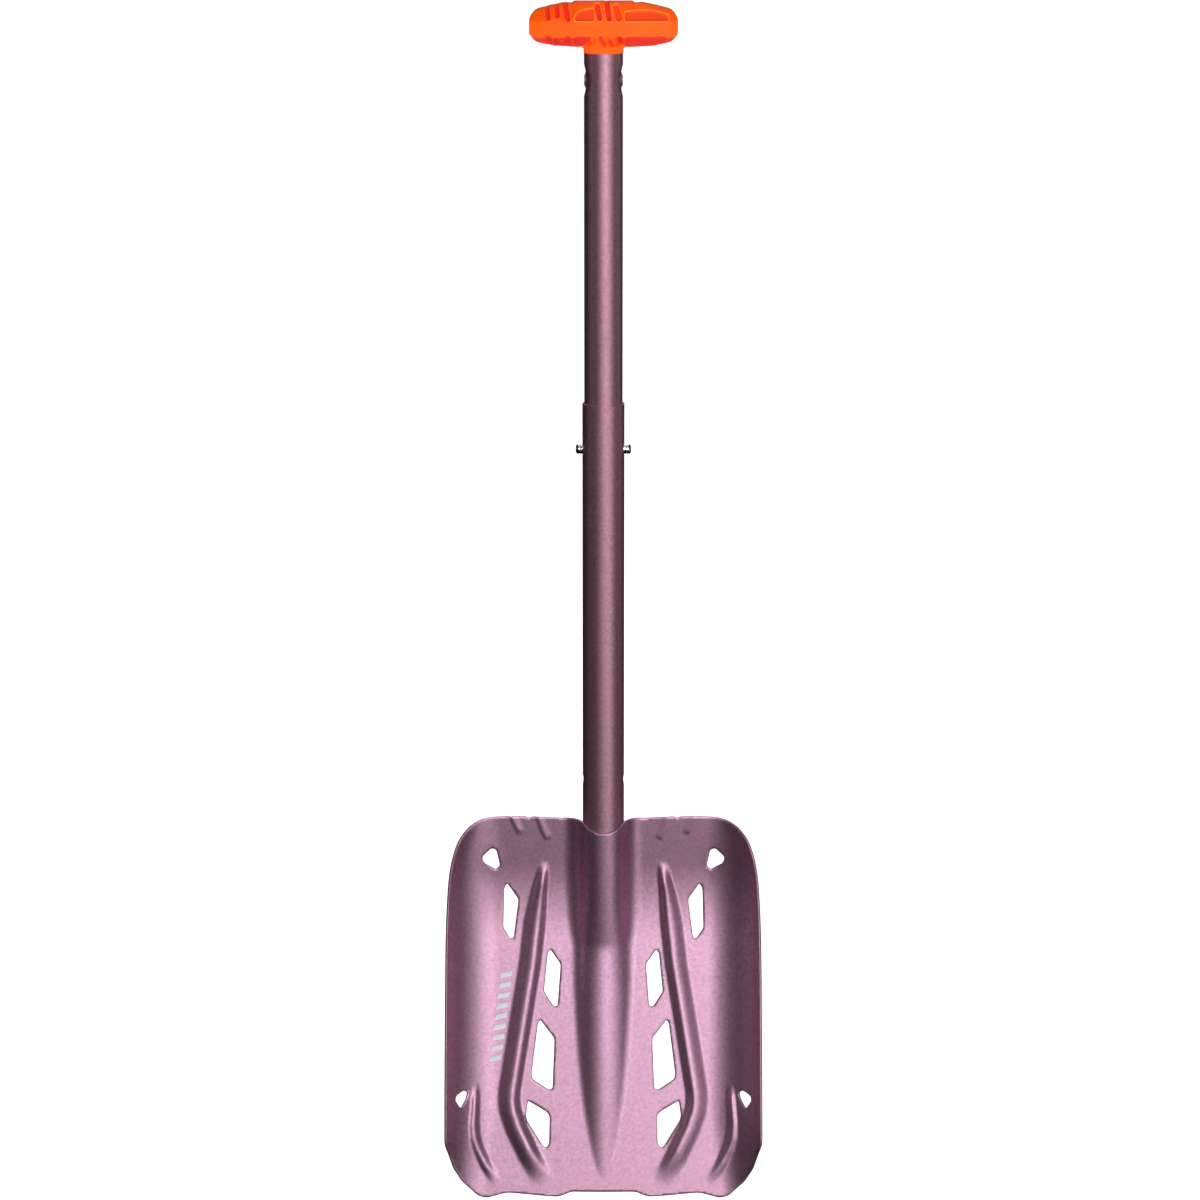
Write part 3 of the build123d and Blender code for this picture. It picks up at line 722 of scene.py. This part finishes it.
def build_tube(name, r_out, r_in, z0, z1, dimpled, holes, round_off):
    """Drawn tube; holes are (axis, height, radius) and go through one or both walls."""
    seg = 192
    zs = [z0, z0 + round_off * 0.3, z0 + round_off, z0 + round_off + 0.25]
    push = [round_off, round_off * 0.3, 0.0, 0.0]
    z = z0 + 6
    end = z1 if not dimpled else RIVET_Z - 14
    while z < end - 4:
        zs.append(z)
        push.append(0.0)
        z += 6
    if dimpled:
        z = RIVET_Z - 14
        while z <= RIVET_Z + 14:
            zs.append(z)
            push.append(0.0)
            z += 0.5
    zs += [z1 - round_off - 0.25, z1 - round_off, z1 - round_off * 0.3, z1]
    push += [0.0, 0.0, round_off * 0.3, round_off]
    verts, faces, rings = [], [], []
    for z, cut in zip(zs, push):
        ring = []
        for i in range(seg):
            a = 2 * pi * i / seg
            r = r_out - cut
            if dimpled and abs(z - RIVET_Z) <= 14:
                r -= dimple(r_out * sin(a), z, 1)
            ring.append(len(verts))
            verts.append((r * cos(a), r * sin(a), z))
        rings.append(ring)
    for z in (z1, z1 - round_off * 0.6, z0 + round_off * 0.6, z0):
        cut = 0.25 if z in (z1, z0) else 0.0
        ring = []
        for i in range(seg):
            a = 2 * pi * i / seg
            ring.append(len(verts))
            verts.append(((r_in + cut) * cos(a), (r_in + cut) * sin(a), z))
        rings.append(ring)
    rings.append(rings[0])
    for r0, r1 in zip(rings, rings[1:]):
        for i in range(seg):
            j = (i + 1) % seg
            faces.append((r0[i], r0[j], r1[j], r1[i]))
    ob = mesh_object(name, [(x * MM, (SY + y) * MM, z * MM) for x, y, z in verts], faces, MAT_SHAFT)
    cutters = []
    for n, (axis, z, r) in enumerate(holes):
        ring, vs, fs = [], [], []
        for h in (-25, 25) if axis == "X" else (6, 25):
            for i in range(64):
                a = 2 * pi * i / 64
                u, v = r * cos(a), r * sin(a)
                vs.append((h * MM, (SY + u) * MM, (z + v) * MM) if axis == "X" else (u * MM, (SY + h) * MM, (z + v) * MM))
        for i in range(64):
            k = (i + 1) % 64
            fs.append((i, k, 64 + k, 64 + i))
        fs.append(tuple(range(63, -1, -1)))
        fs.append(tuple(range(64, 128)))
        me = bpy.data.meshes.new("cut")
        me.from_pydata(vs, [], fs)
        bm = bmesh.new()
        bm.from_mesh(me)
        bmesh.ops.recalc_face_normals(bm, faces=bm.faces)
        bm.to_mesh(me)
        bm.free()
        cut = bpy.data.objects.new("cut", me)
        scene_objects = bpy.context.scene.collection.objects
        scene_objects.link(cut)
        mod = ob.modifiers.new("hole_%d" % n, "BOOLEAN")
        mod.operation = "DIFFERENCE"
        mod.object = cut
        mod.solver = "EXACT"
        cutters.append(cut)
    dg = bpy.context.evaluated_depsgraph_get()
    me = bpy.data.meshes.new_from_object(ob.evaluated_get(dg))
    ob.modifiers.clear()
    ob.data = me
    for cut in cutters:
        bpy.data.objects.remove(cut, do_unlink=True)
    me.set_sharp_from_angle(angle=radians(32))
    return ob


upper = build_tube("upper_tube", UPPER_R, UPPER_RI, UPPER_Z0, UPPER_Z1, True, [("X", PIN_Z, 4.15)], 0.3)
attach(upper, "upper_body")
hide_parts("upper_shaft")

LOWER_R, LOWER_RI = 16.0, 14.8
LOWER_Z0, LOWER_Z1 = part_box("lower_shaft")[0][2] / MM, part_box("lower_shaft")[1][2] / MM
BUTTON_Z = (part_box("blade_lock_button")[0][2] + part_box("blade_lock_button")[1][2]) / 2 / MM
lower = build_tube("lower_tube", LOWER_R, LOWER_RI, LOWER_Z0, LOWER_Z1, False,
                   [("X", PIN_Z, 4.3), ("X", 320.5, 4.3), ("Y", BUTTON_Z, 4.5)], 0.35)
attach(lower, "lower_body")
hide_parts("lower_shaft")

# rivet: a domed head in each dimple
def lathe(name, profile, mat, seg=96, axis="Z", origin=(0, 0, 0)):
    verts, faces, rings = [], [], []
    for r, h in profile:
        ring = []
        if r < 1e-6:
            ring = [len(verts)]
            verts.append((0, 0, h))
        else:
            for i in range(seg):
                a = 2 * pi * i / seg
                ring.append(len(verts))
                verts.append((r * cos(a), r * sin(a), h))
        rings.append(ring)
    for r0, r1 in zip(rings, rings[1:]):
        if len(r0) == 1 and len(r1) == 1:
            continue
        for i in range(seg):
            j = (i + 1) % seg
            if len(r0) == 1:
                faces.append((r0[0], r1[j], r1[i]))
            elif len(r1) == 1:
                faces.append((r0[i], r0[j], r1[0]))
            else:
                faces.append((r0[i], r0[j], r1[j], r1[i]))
    if axis == "X":
        verts = [(h, x, y) for x, y, h in verts]
    elif axis == "-X":
        verts = [(-h, -x, y) for x, y, h in verts]
    elif axis == "Y":
        verts = [(y, h, x) for x, y, h in verts]
    ob = mesh_object(name, [((x + origin[0]) * MM, (y + origin[1]) * MM, (z + origin[2]) * MM)
                            for x, y, z in verts], faces, mat)
    bm = bmesh.new()
    bm.from_mesh(ob.data)
    bmesh.ops.recalc_face_normals(bm, faces=bm.faces)
    bm.to_mesh(ob.data)
    bm.free()
    ob.data.set_sharp_from_angle(angle=radians(40))
    return ob


def rounded(profile, radius, steps=5):
    """Profile with its inner corners rounded."""
    out = [profile[0]]
    for a, p, b in zip(profile, profile[1:], profile[2:]):
        la, lb = hypot(a[0] - p[0], a[1] - p[1]), hypot(b[0] - p[0], b[1] - p[1])
        c = min(radius, 0.45 * la, 0.45 * lb)
        s = (p[0] + (a[0] - p[0]) * c / la, p[1] + (a[1] - p[1]) * c / la)
        e = (p[0] + (b[0] - p[0]) * c / lb, p[1] + (b[1] - p[1]) * c / lb)
        for k in range(steps):
            t = k / (steps - 1)
            out.append(tuple((1 - t) ** 2 * u + 2 * t * (1 - t) * v + t * t * w for u, v, w in zip(s, p, e)))
    out.append(profile[-1])
    return out


rivet = lathe("through_rivet", [(0, -14.5), (3.0, -14.45), (4.35, -14.1), (4.3, -13.6), (2.45, -13.4), (2.45, 13.4),
                                (4.3, 13.6), (4.35, 14.1), (3.0, 14.45), (0, 14.5)], MAT_SHAFT, axis="X",
              origin=(0, SY, RIVET_Z))
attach(rivet, "upper_body")
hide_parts("grip_rivet")

# side lock pins: turned heads with a domed, chamfered tip
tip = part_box("right_lock_pin")[1][0] / MM
for name, node, body, axis in (("lock_pin_left", "left_lock_pin", "left_pin_body", "-X"),
                               ("lock_pin_right", "right_lock_pin", "right_pin_body", "X")):
    prof = rounded([(0, 10.8), (5.2, 10.8), (5.2, 12.2), (4.0, 12.25), (4.0, 17.4), (3.72, 17.5), (3.72, 17.9),
                    (4.0, 18.0), (4.0, tip - 1.9), (3.4, tip - 0.7), (2.1, tip - 0.05), (0, tip)], 1.1)
    pin = lathe(name, prof, MAT_STEEL, axis=axis, origin=(0, SY, PIN_Z))
    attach(pin, body)
    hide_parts(node)

# =====================================================================
# hairpin springs: copies of the CAD springs, the pin spring split into a left and a right half
# =====================================================================
def hairpin(name, node, side, axis, cut):
    """Copy of the spring, or of one half of it."""
    src = frame["nodes"][node]
    bm = bmesh.new()
    bm.from_mesh(src.data)
    bm.transform(src.matrix_world)
    bmesh.ops.remove_doubles(bm, verts=bm.verts, dist=1e-7)
    if cut:
        got = bmesh.ops.bisect_plane(bm, geom=bm.verts[:] + bm.edges[:] + bm.faces[:], dist=1e-7,
                                     plane_co=(0, 0, 0), plane_no=(side, 0, 0), clear_inner=True)
        edges = [e for e in got["geom_cut"] if isinstance(e, bmesh.types.BMEdge)]
        bmesh.ops.holes_fill(bm, edges=edges)
        bmesh.ops.recalc_face_normals(bm, faces=bm.faces)
    me = bpy.data.meshes.new(name)
    bm.to_mesh(me)
    bm.free()
    me.materials.append(MAT_SPRING)
    ob = bpy.data.objects.new(name, me)
    bpy.context.scene.collection.objects.link(ob)
    lo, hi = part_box(node)
    mid = Vector((0, SY * MM, (lo[2] + hi[2]) / 2))
    end = mid.copy()
    end[axis] = (hi if side > 0 else lo)[axis] - side * 0.9 * MM
    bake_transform(ob)
    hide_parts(node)
    return ob


hairpin("pin_spring_left", "lock_pin_spring", -1, 0, True)
hairpin("pin_spring_right", "lock_pin_spring", 1, 0, True)
hairpin("button_spring", "blade_lock_spring", 1, 1, False)

# =====================================================================
# grip: T bar with recessed panels and finger slots
# =====================================================================
G_TOP = [(0, 917.5), (20.6, 917.5), (21.6, 917.4), (22.3, 917.0), (22.9, 916.3), (24.6, 916.1), (26.4, 916.2), (27.2, 916.6), (29.7, 916.4), (40.6, 914.1),
         (48.6, 912.0), (50.8, 910.8), (52.8, 908.7), (54.5, 905.9), (54.9, 904.6)]
G_BOT = [(0, 884.0), (21, 884.0), (36.9, 884.9), (48.0, 887.1), (50.6, 888.2), (52.8, 890.2), (54.5, 892.7), (54.9, 894.0)]
G_DEP = [(0, 15.0), (10, 15.0), (20, 14.9), (32, 14.4), (44, 13.5), (50, 12.5), (53.4, 11.4), (54.9, 10.4)]


def soften(table, reach):
    """Table resampled every 0.25 mm and averaged over a short reach."""
    xs = [0.25 * k for k in range(int(54.9 / 0.25) + 1)] + [54.9]
    out = []
    for x in xs:
        vals = [interp(table, min(54.9, abs(x + reach * d / 4))) for d in range(-4, 5)]
        out.append((x, sum(vals) / 9))
    return out


def interp(table, x):
    for (a, u), (b, v) in zip(table, table[1:]):
        if x <= b:
            return u + (v - u) * (x - a) / (b - a) if b > a else v
    return table[-1][1]


G_DEP = soften(G_DEP, 5.0)
G_BOT = soften(G_BOT, 1.0)


def section(x):
    w = abs(x)
    zt, zb, d = interp(G_TOP, w), interp(G_BOT, w), interp(G_DEP, w)
    z1 = min(903.2, zt - 1.2)
    z2 = max(892.6, zb + 1.2)
    k = d / 15.0
    yt = (8.0 if zt > 912 else 8.0 + (912 - zt) * 0.5) * k
    yb = (8.6 if zb < 888 else 8.6 + (zb - 888) * 0.45) * k
    poly = [(0, zt), (-yt, zt), (-d, z1), (-d, z2), (-yb, zb), (0, zb),
            (yb, zb), (d, z2), (d, z1), (yt, zt)]
    return poly


def resample(poly, n):
    m = len(poly)
    seg = [hypot(poly[(i + 1) % m][0] - poly[i][0], poly[(i + 1) % m][1] - poly[i][1]) for i in range(m)]
    # the same number of samples on each side, so that rows line up
    share = [0.8, 1.6, 1.1, 1.2, 0.8, 0.8, 1.2, 1.1, 1.6, 0.8]
    tot = sum(share)
    out = []
    for i in range(m):
        k = int(round(n * share[i] / tot))
        p, q = poly[i], poly[(i + 1) % m]
        for j in range(k):
            t = j / k
            out.append((p[0] + (q[0] - p[0]) * t, p[1] + (q[1] - p[1]) * t))
    return out


def blur(pts, passes):
    n = len(pts)
    for _ in range(passes):
        pts = [tuple((pts[i - 1][k] + 2 * pts[i][k] + pts[(i + 1) % n][k]) / 4 for k in (0, 1)) for i in range(n)]
    return pts


# (start, end, radius, depth) of finger slots and outlines of panels, x and z
SLOTS = [((-42.2, 915.0), (-41.1, 905.6), 1.6, 2.0), ((-35.2, 917.0), (-34.3, 907.4), 1.6, 2.0),
         ((-28.9, 918.0), (-26.6, 905.4), 1.8, 2.0),
         ((-4.9, 914.5), (-2.9, 905.8), 1.8, 1.8), ((2.3, 917.0), (4.0, 905.3), 1.7, 2.2),
         ((9.2, 913.2), (11.2, 906.0), 2.2, 1.4),
         ((-41.2, 891.0), (-39.6, 885.6), 1.6, 2.0), ((-35.2, 889.0), (-33.2, 885.2), 1.5, 2.0),
         ((-26.4, 890.6), (-27.4, 884.0), 1.8, 2.0),
         ((-2.2, 890.8), (0.6, 886.6), 1.7, 1.9), ((4.4, 889.0), (7.6, 884.6), 1.5, 1.9),
         ((11.6, 890.6), (11.2, 886.2), 1.8, 1.9)]
PANELS = [([(-19.6, 908.6), (-15.4, 911.1), (-8.6, 912.2), (-7.4, 911.6), (-7.6, 904.0), (-20.4, 904.0), (-21.0, 905.6)], 1.3),
          ([(16.4, 909.9), (24.0, 910.8), (34.0, 910.8), (40.5, 909.8), (47.4, 907.6), (47.8, 904.6), (47.0, 903.9), (16.6, 903.9), (15.9, 906.5)], 1.3),
          ([(-20.6, 892.2), (-9.4, 892.2), (-9.8, 886.6), (-11.8, 884.2), (-18.0, 884.2), (-21.4, 887.4)], 1.4),
          ([(17.2, 892.2), (45.6, 892.2), (46.2, 889.0), (37.0, 885.6), (17.0, 884.4)], 1.4)]


def recess(x, z):
    """Depth of the moulded pattern and, separately, how strongly its lip stands."""
    p = (x, z)
    depth, lip = 0.0, 0.0
    for a, b, r, dep in SLOTS:
        if abs(x - a[0]) > 12:
            continue
        d = capsule(p, a, b) - r
        depth = max(depth, dep * smooth(-d / 1.0 + 0.45))
        lip = max(lip, 0.8 * (1 - smooth(abs(d - 0.75) / 0.75)) * (1 if abs(x) < 14 else 0.35))
    for poly, dep in PANELS:
        xs = [q[0] for q in poly]
        if min(xs) - 3 < x < max(xs) + 3:
            d = poly_sdf(p, poly)
            depth = max(depth, dep * smooth(-d / 0.9 + 0.5))
            lip = max(lip, 1 - smooth(abs(d - 0.8) / 0.85))
    lip *= 1 - smooth(depth / 0.7)
    if z < 895:
        lip *= 0.25
    return depth, lip


def build_grip():
    step = 0.5
    n_ring = 230
    xs = []
    x = -54.9
    while x < 54.9:
        xs.append(x)
        x += step
    xs.append(54.9)
    rows = []
    for x in xs:
        ring = blur(resample(section(x), n_ring), 22)
        rows.append([Vector((x, y, z)) for y, z in ring])
    n = len(rows[0])
    # normals from neighbours
    moved, recess_shade, lip_highlight = [], [], []
    for i, row in enumerate(rows):
        new = []
        for j, p in enumerate(row):
            a, b = rows[max(i - 1, 0)][j], rows[min(i + 1, len(rows) - 1)][j]
            c, d = row[j - 1], row[(j + 1) % n]
            nrm = (b - a).cross(d - c).normalized()
            centre = Vector((p.x, 0, 900.7))
            if nrm.dot(p - centre) < 0:
                nrm = -nrm
            dep, lip = recess(p.x, p.z)
            fade = smooth((abs(p.y) - 3.5) / 2.0)
            new.append(p - nrm * (dep - 0.35 * lip) * fade)
            # recess depth, kept as the mask for the painted shade in the grip colour
            recess_shade.append(dep * fade / 2.0)
            # lip strength, kept as the mask for the painted highlight in the grip colour
            lip_highlight.append(lip * fade)
        moved.append(new)
    verts = [v for row in moved for v in row]
    faces = []
    for i in range(len(rows) - 1):
        for j in range(n):
            k = (j + 1) % n
            faces.append((i * n + j, i * n + k, (i + 1) * n + k, (i + 1) * n + j))
    # end caps: shrinking rings that round off the flat ends
    for end in (0, len(rows) - 1):
        s = -1 if end == 0 else 1
        base = [end * n + j for j in range(n)]
        c = sum((verts[k] for k in base), Vector()) / n
        prev = base
        for shrink, push in ((0.94, 0.22), (0.80, 0.32), (0.5, 0.36), (0.2, 0.36)):
            ring = []
            for k in base:
                v = c + (verts[k] - c) * shrink
                ring.append(len(verts))
                verts.append(Vector((v.x + s * push, v.y, v.z)))
                recess_shade.append(0.0)
                lip_highlight.append(0.0)
            for j in range(n):
                k = (j + 1) % n
                faces.append((prev[j], prev[k], ring[k], ring[j]))
            prev = ring
        m = len(verts)
        verts.append(Vector((c.x + s * 0.36, c.y, c.z)))
        recess_shade.append(0.0)
        lip_highlight.append(0.0)
        for j in range(n):
            faces.append((prev[j], prev[(j + 1) % n], m))
    # collar round the shaft; its front and back run up into the bar as a
    # narrowing wedge, its sides flare out under the bar
    seg = 200
    prof = [(879.2, 14.45, 14.45, 2.0), (879.3, 14.68, 14.68, 2.0), (881.2, 14.72, 14.72, 2.0),
            (882.4, 14.9, 14.8, 2.1), (883.3, 15.1, 14.85, 2.2), (884.4, 14.6, 14.9, 2.4),
            (885.6, 13.5, 14.9, 2.7), (887.0, 12.0, 14.95, 3.0), (888.6, 10.2, 15.0, 3.3),
            (890.2, 8.3, 15.0, 3.6), (891.8, 6.2, 15.02, 4.0), (893.4, 3.6, 14.9, 4.0)]
    base = len(verts)
    for z, rx, ry, e in prof:
        for i in range(seg):
            a = 2 * pi * i / seg
            c, t = cos(a), sin(a)
            x = rx * abs(c) ** (2 / e) * (1 if c >= 0 else -1)
            y = ry * abs(t) ** (2 / e) * (1 if t >= 0 else -1)
            dep, lip = recess(x, z)
            fade = smooth((z - 884.5) / 1.5) * smooth((abs(y) - 9) / 3)
            y *= 1 - 1.25 * dep * fade / 15.0
            verts.append(Vector((x, y, z)))
            recess_shade.append(dep * fade / 2.0)
            lip_highlight.append(0.0)
    for q in range(len(prof) - 1):
        for i in range(seg):
            j = (i + 1) % seg
            faces.append((base + q * seg + i, base + q * seg + j, base + (q + 1) * seg + j, base + (q + 1) * seg + i))
    for top, z in ((0, prof[0][0]), (len(prof) - 1, prof[-1][0])):
        m = len(verts)
        verts.append(Vector((0, 0, z)))
        recess_shade.append(0.0)
        lip_highlight.append(0.0)
        for i in range(seg):
            a, b = base + top * seg + i, base + top * seg + (i + 1) % seg
            faces.append((a, b, m) if top else (b, a, m))
    flare = [(882.0, 14.7, 13.2), (883.0, 15.5, 13.0), (883.8, 16.6, 12.2), (884.5, 18.0, 11.4), (885.2, 20.0, 10.6), (886.2, 23.0, 9.5)]
    base = len(verts)
    for z, rx, ry in flare:
        for i in range(seg):
            a = 2 * pi * i / seg
            verts.append(Vector((rx * cos(a), ry * sin(a), z)))
            recess_shade.append(0.0)
            lip_highlight.append(0.0)
    for q in range(len(flare) - 1):
        for i in range(seg):
            j = (i + 1) % seg
            faces.append((base + q * seg + i, base + q * seg + j, base + (q + 1) * seg + j, base + (q + 1) * seg + i))
    for top, z in ((0, flare[0][0]), (len(flare) - 1, flare[-1][0])):
        m = len(verts)
        verts.append(Vector((0, 0, z)))
        recess_shade.append(0.0)
        lip_highlight.append(0.0)
        for i in range(seg):
            a, b = base + top * seg + i, base + top * seg + (i + 1) % seg
            faces.append((a, b, m) if top else (b, a, m))
    ob = mesh_object("t_grip", [(v.x * MM, (SY + v.y) * MM, v.z * MM) for v in verts], faces, MAT_ORANGE)
    # mask for the painted shade on the underside of the bar
    under = [smooth((892.6 - v.z) / 2.4) * smooth((abs(v.x) - 15.5 + (v.z - 884) * 1.2) / 2.0) for v in verts]
    for label, values in (("recess_shade", recess_shade), ("lip", lip_highlight), ("under", under)):
        at = ob.data.attributes.new(label, "FLOAT", "POINT")
        at.data.foreach_set("value", values)
    bm = bmesh.new()
    bm.from_mesh(ob.data)
    bmesh.ops.recalc_face_normals(bm, faces=bm.faces)
    bm.to_mesh(ob.data)
    bm.free()
    ob.data.set_sharp_from_angle(angle=radians(60))
    return ob


grip = build_grip()
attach(grip, "upper_body")
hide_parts("grip_cover")

# =====================================================================
# stage, lights, camera
# =====================================================================
scene = bpy.context.scene


def stage_material(name, colour, emission):
    mat, nt, bsdf = new_material(name)
    v = coords(nt)
    c = ramp(nt, noise(nt, v, 3, 1.0), [(0.0, tuple(x * 0.99 for x in colour)), (1.0, colour)])
    nt.links.new(c, bsdf.inputs["Base Color"])
    bsdf.inputs["Roughness"].default_value = 0.9
    bsdf.inputs["Emission Color"].default_value = (*colour, 1)
    bsdf.inputs["Emission Strength"].default_value = emission
    return mat


def build_stage():
    """Plain round floor, far wider than any camera distance."""
    verts, faces, seg = [(0.0, 0.0, 0.0)], [], 96
    for r in (0.6, 2.0, 6.0, 14.0):
        for k in range(seg):
            a = 2 * pi * k / seg
            verts.append((r * cos(a), r * sin(a), 0.0))
    for k in range(seg):
        faces.append((0, 1 + k, 1 + (k + 1) % seg))
        for q in range(3):
            b = 1 + q * seg
            faces.append((b + k, b + seg + k, b + seg + (k + 1) % seg, b + (k + 1) % seg))
    return mesh_object("pale_floor", verts, faces, stage_material("floor_paper", (0.93, 0.93, 0.93), 1.12), smooth=False)


floor = build_stage()
floor.visible_glossy = False          # the metal mirrors the lights, not the floor
floor.visible_shadow = False

TILT = radians(12.5)
DIST = 3.0
AIM_Z = 0.4622
cam_data = bpy.data.cameras.new("camera")
cam_data.sensor_width = 36.0
cam_data.sensor_fit = "HORIZONTAL"
cam_data.lens = 3911.0 / 1200.0 * 36.0
cam_data.clip_start = 0.05
cam_data.clip_end = 50
cam = bpy.data.objects.new("camera", cam_data)
cam.location = (-0.0026, SHAFT - DIST * cos(TILT), AIM_Z + DIST * sin(TILT))
cam.rotation_euler = Euler((pi / 2 - TILT, 0, 0))
scene.collection.objects.link(cam)
scene.camera = cam


def area(name, az, el, dist, sx, sy, power, colour=(1, 1, 1), aim=(0, 0, 0.4)):
    """Soft light; azimuth 0 is in front (-Y), positive to the right."""
    a, e = radians(az), radians(el)
    d = Vector((sin(a) * cos(e), -cos(a) * cos(e), sin(e)))
    light = bpy.data.lights.new(name, "AREA")
    light.shape = "RECTANGLE"
    light.size, light.size_y = sx, sy
    light.energy = power
    light.color = colour
    ob = bpy.data.objects.new(name, light)
    ob.location = Vector(aim) + d * dist
    ob.rotation_euler = (-d).to_track_quat("-Z", "Y").to_euler()
    ob.visible_camera = False
    scene.collection.objects.link(ob)
    return ob


area("key", 10, 20, 4.2, 2.1, 2.6, 98)
area("low_right", 36, -10, 2.6, 0.8, 1.2, 7, aim=(0, 0, 0.35))
area("fill_left", -75, 15, 3.5, 0.8, 2.2, 5)
area("rim_right", 100, 10, 3.0, 0.5, 2.2, 4)
area("top", 0, 75, 3.0, 1.5, 1.5, 6)
area("back_high", 180, 58, 4.0, 2.2, 2.0, 45)
area("back_low", 180, -42, 3.6, 2.0, 1.4, 26)

world = bpy.data.worlds.new("studio")
scene.world = world
world.use_nodes = True
bg = world.node_tree.nodes["Background"]
bg.inputs["Color"].default_value = (1.0, 1.0, 1.0, 1)
bg.inputs["Strength"].default_value = 1.0
world.cycles_visibility.glossy = False
world.cycles_visibility.diffuse = False
scene.view_settings.view_transform = "Standard"
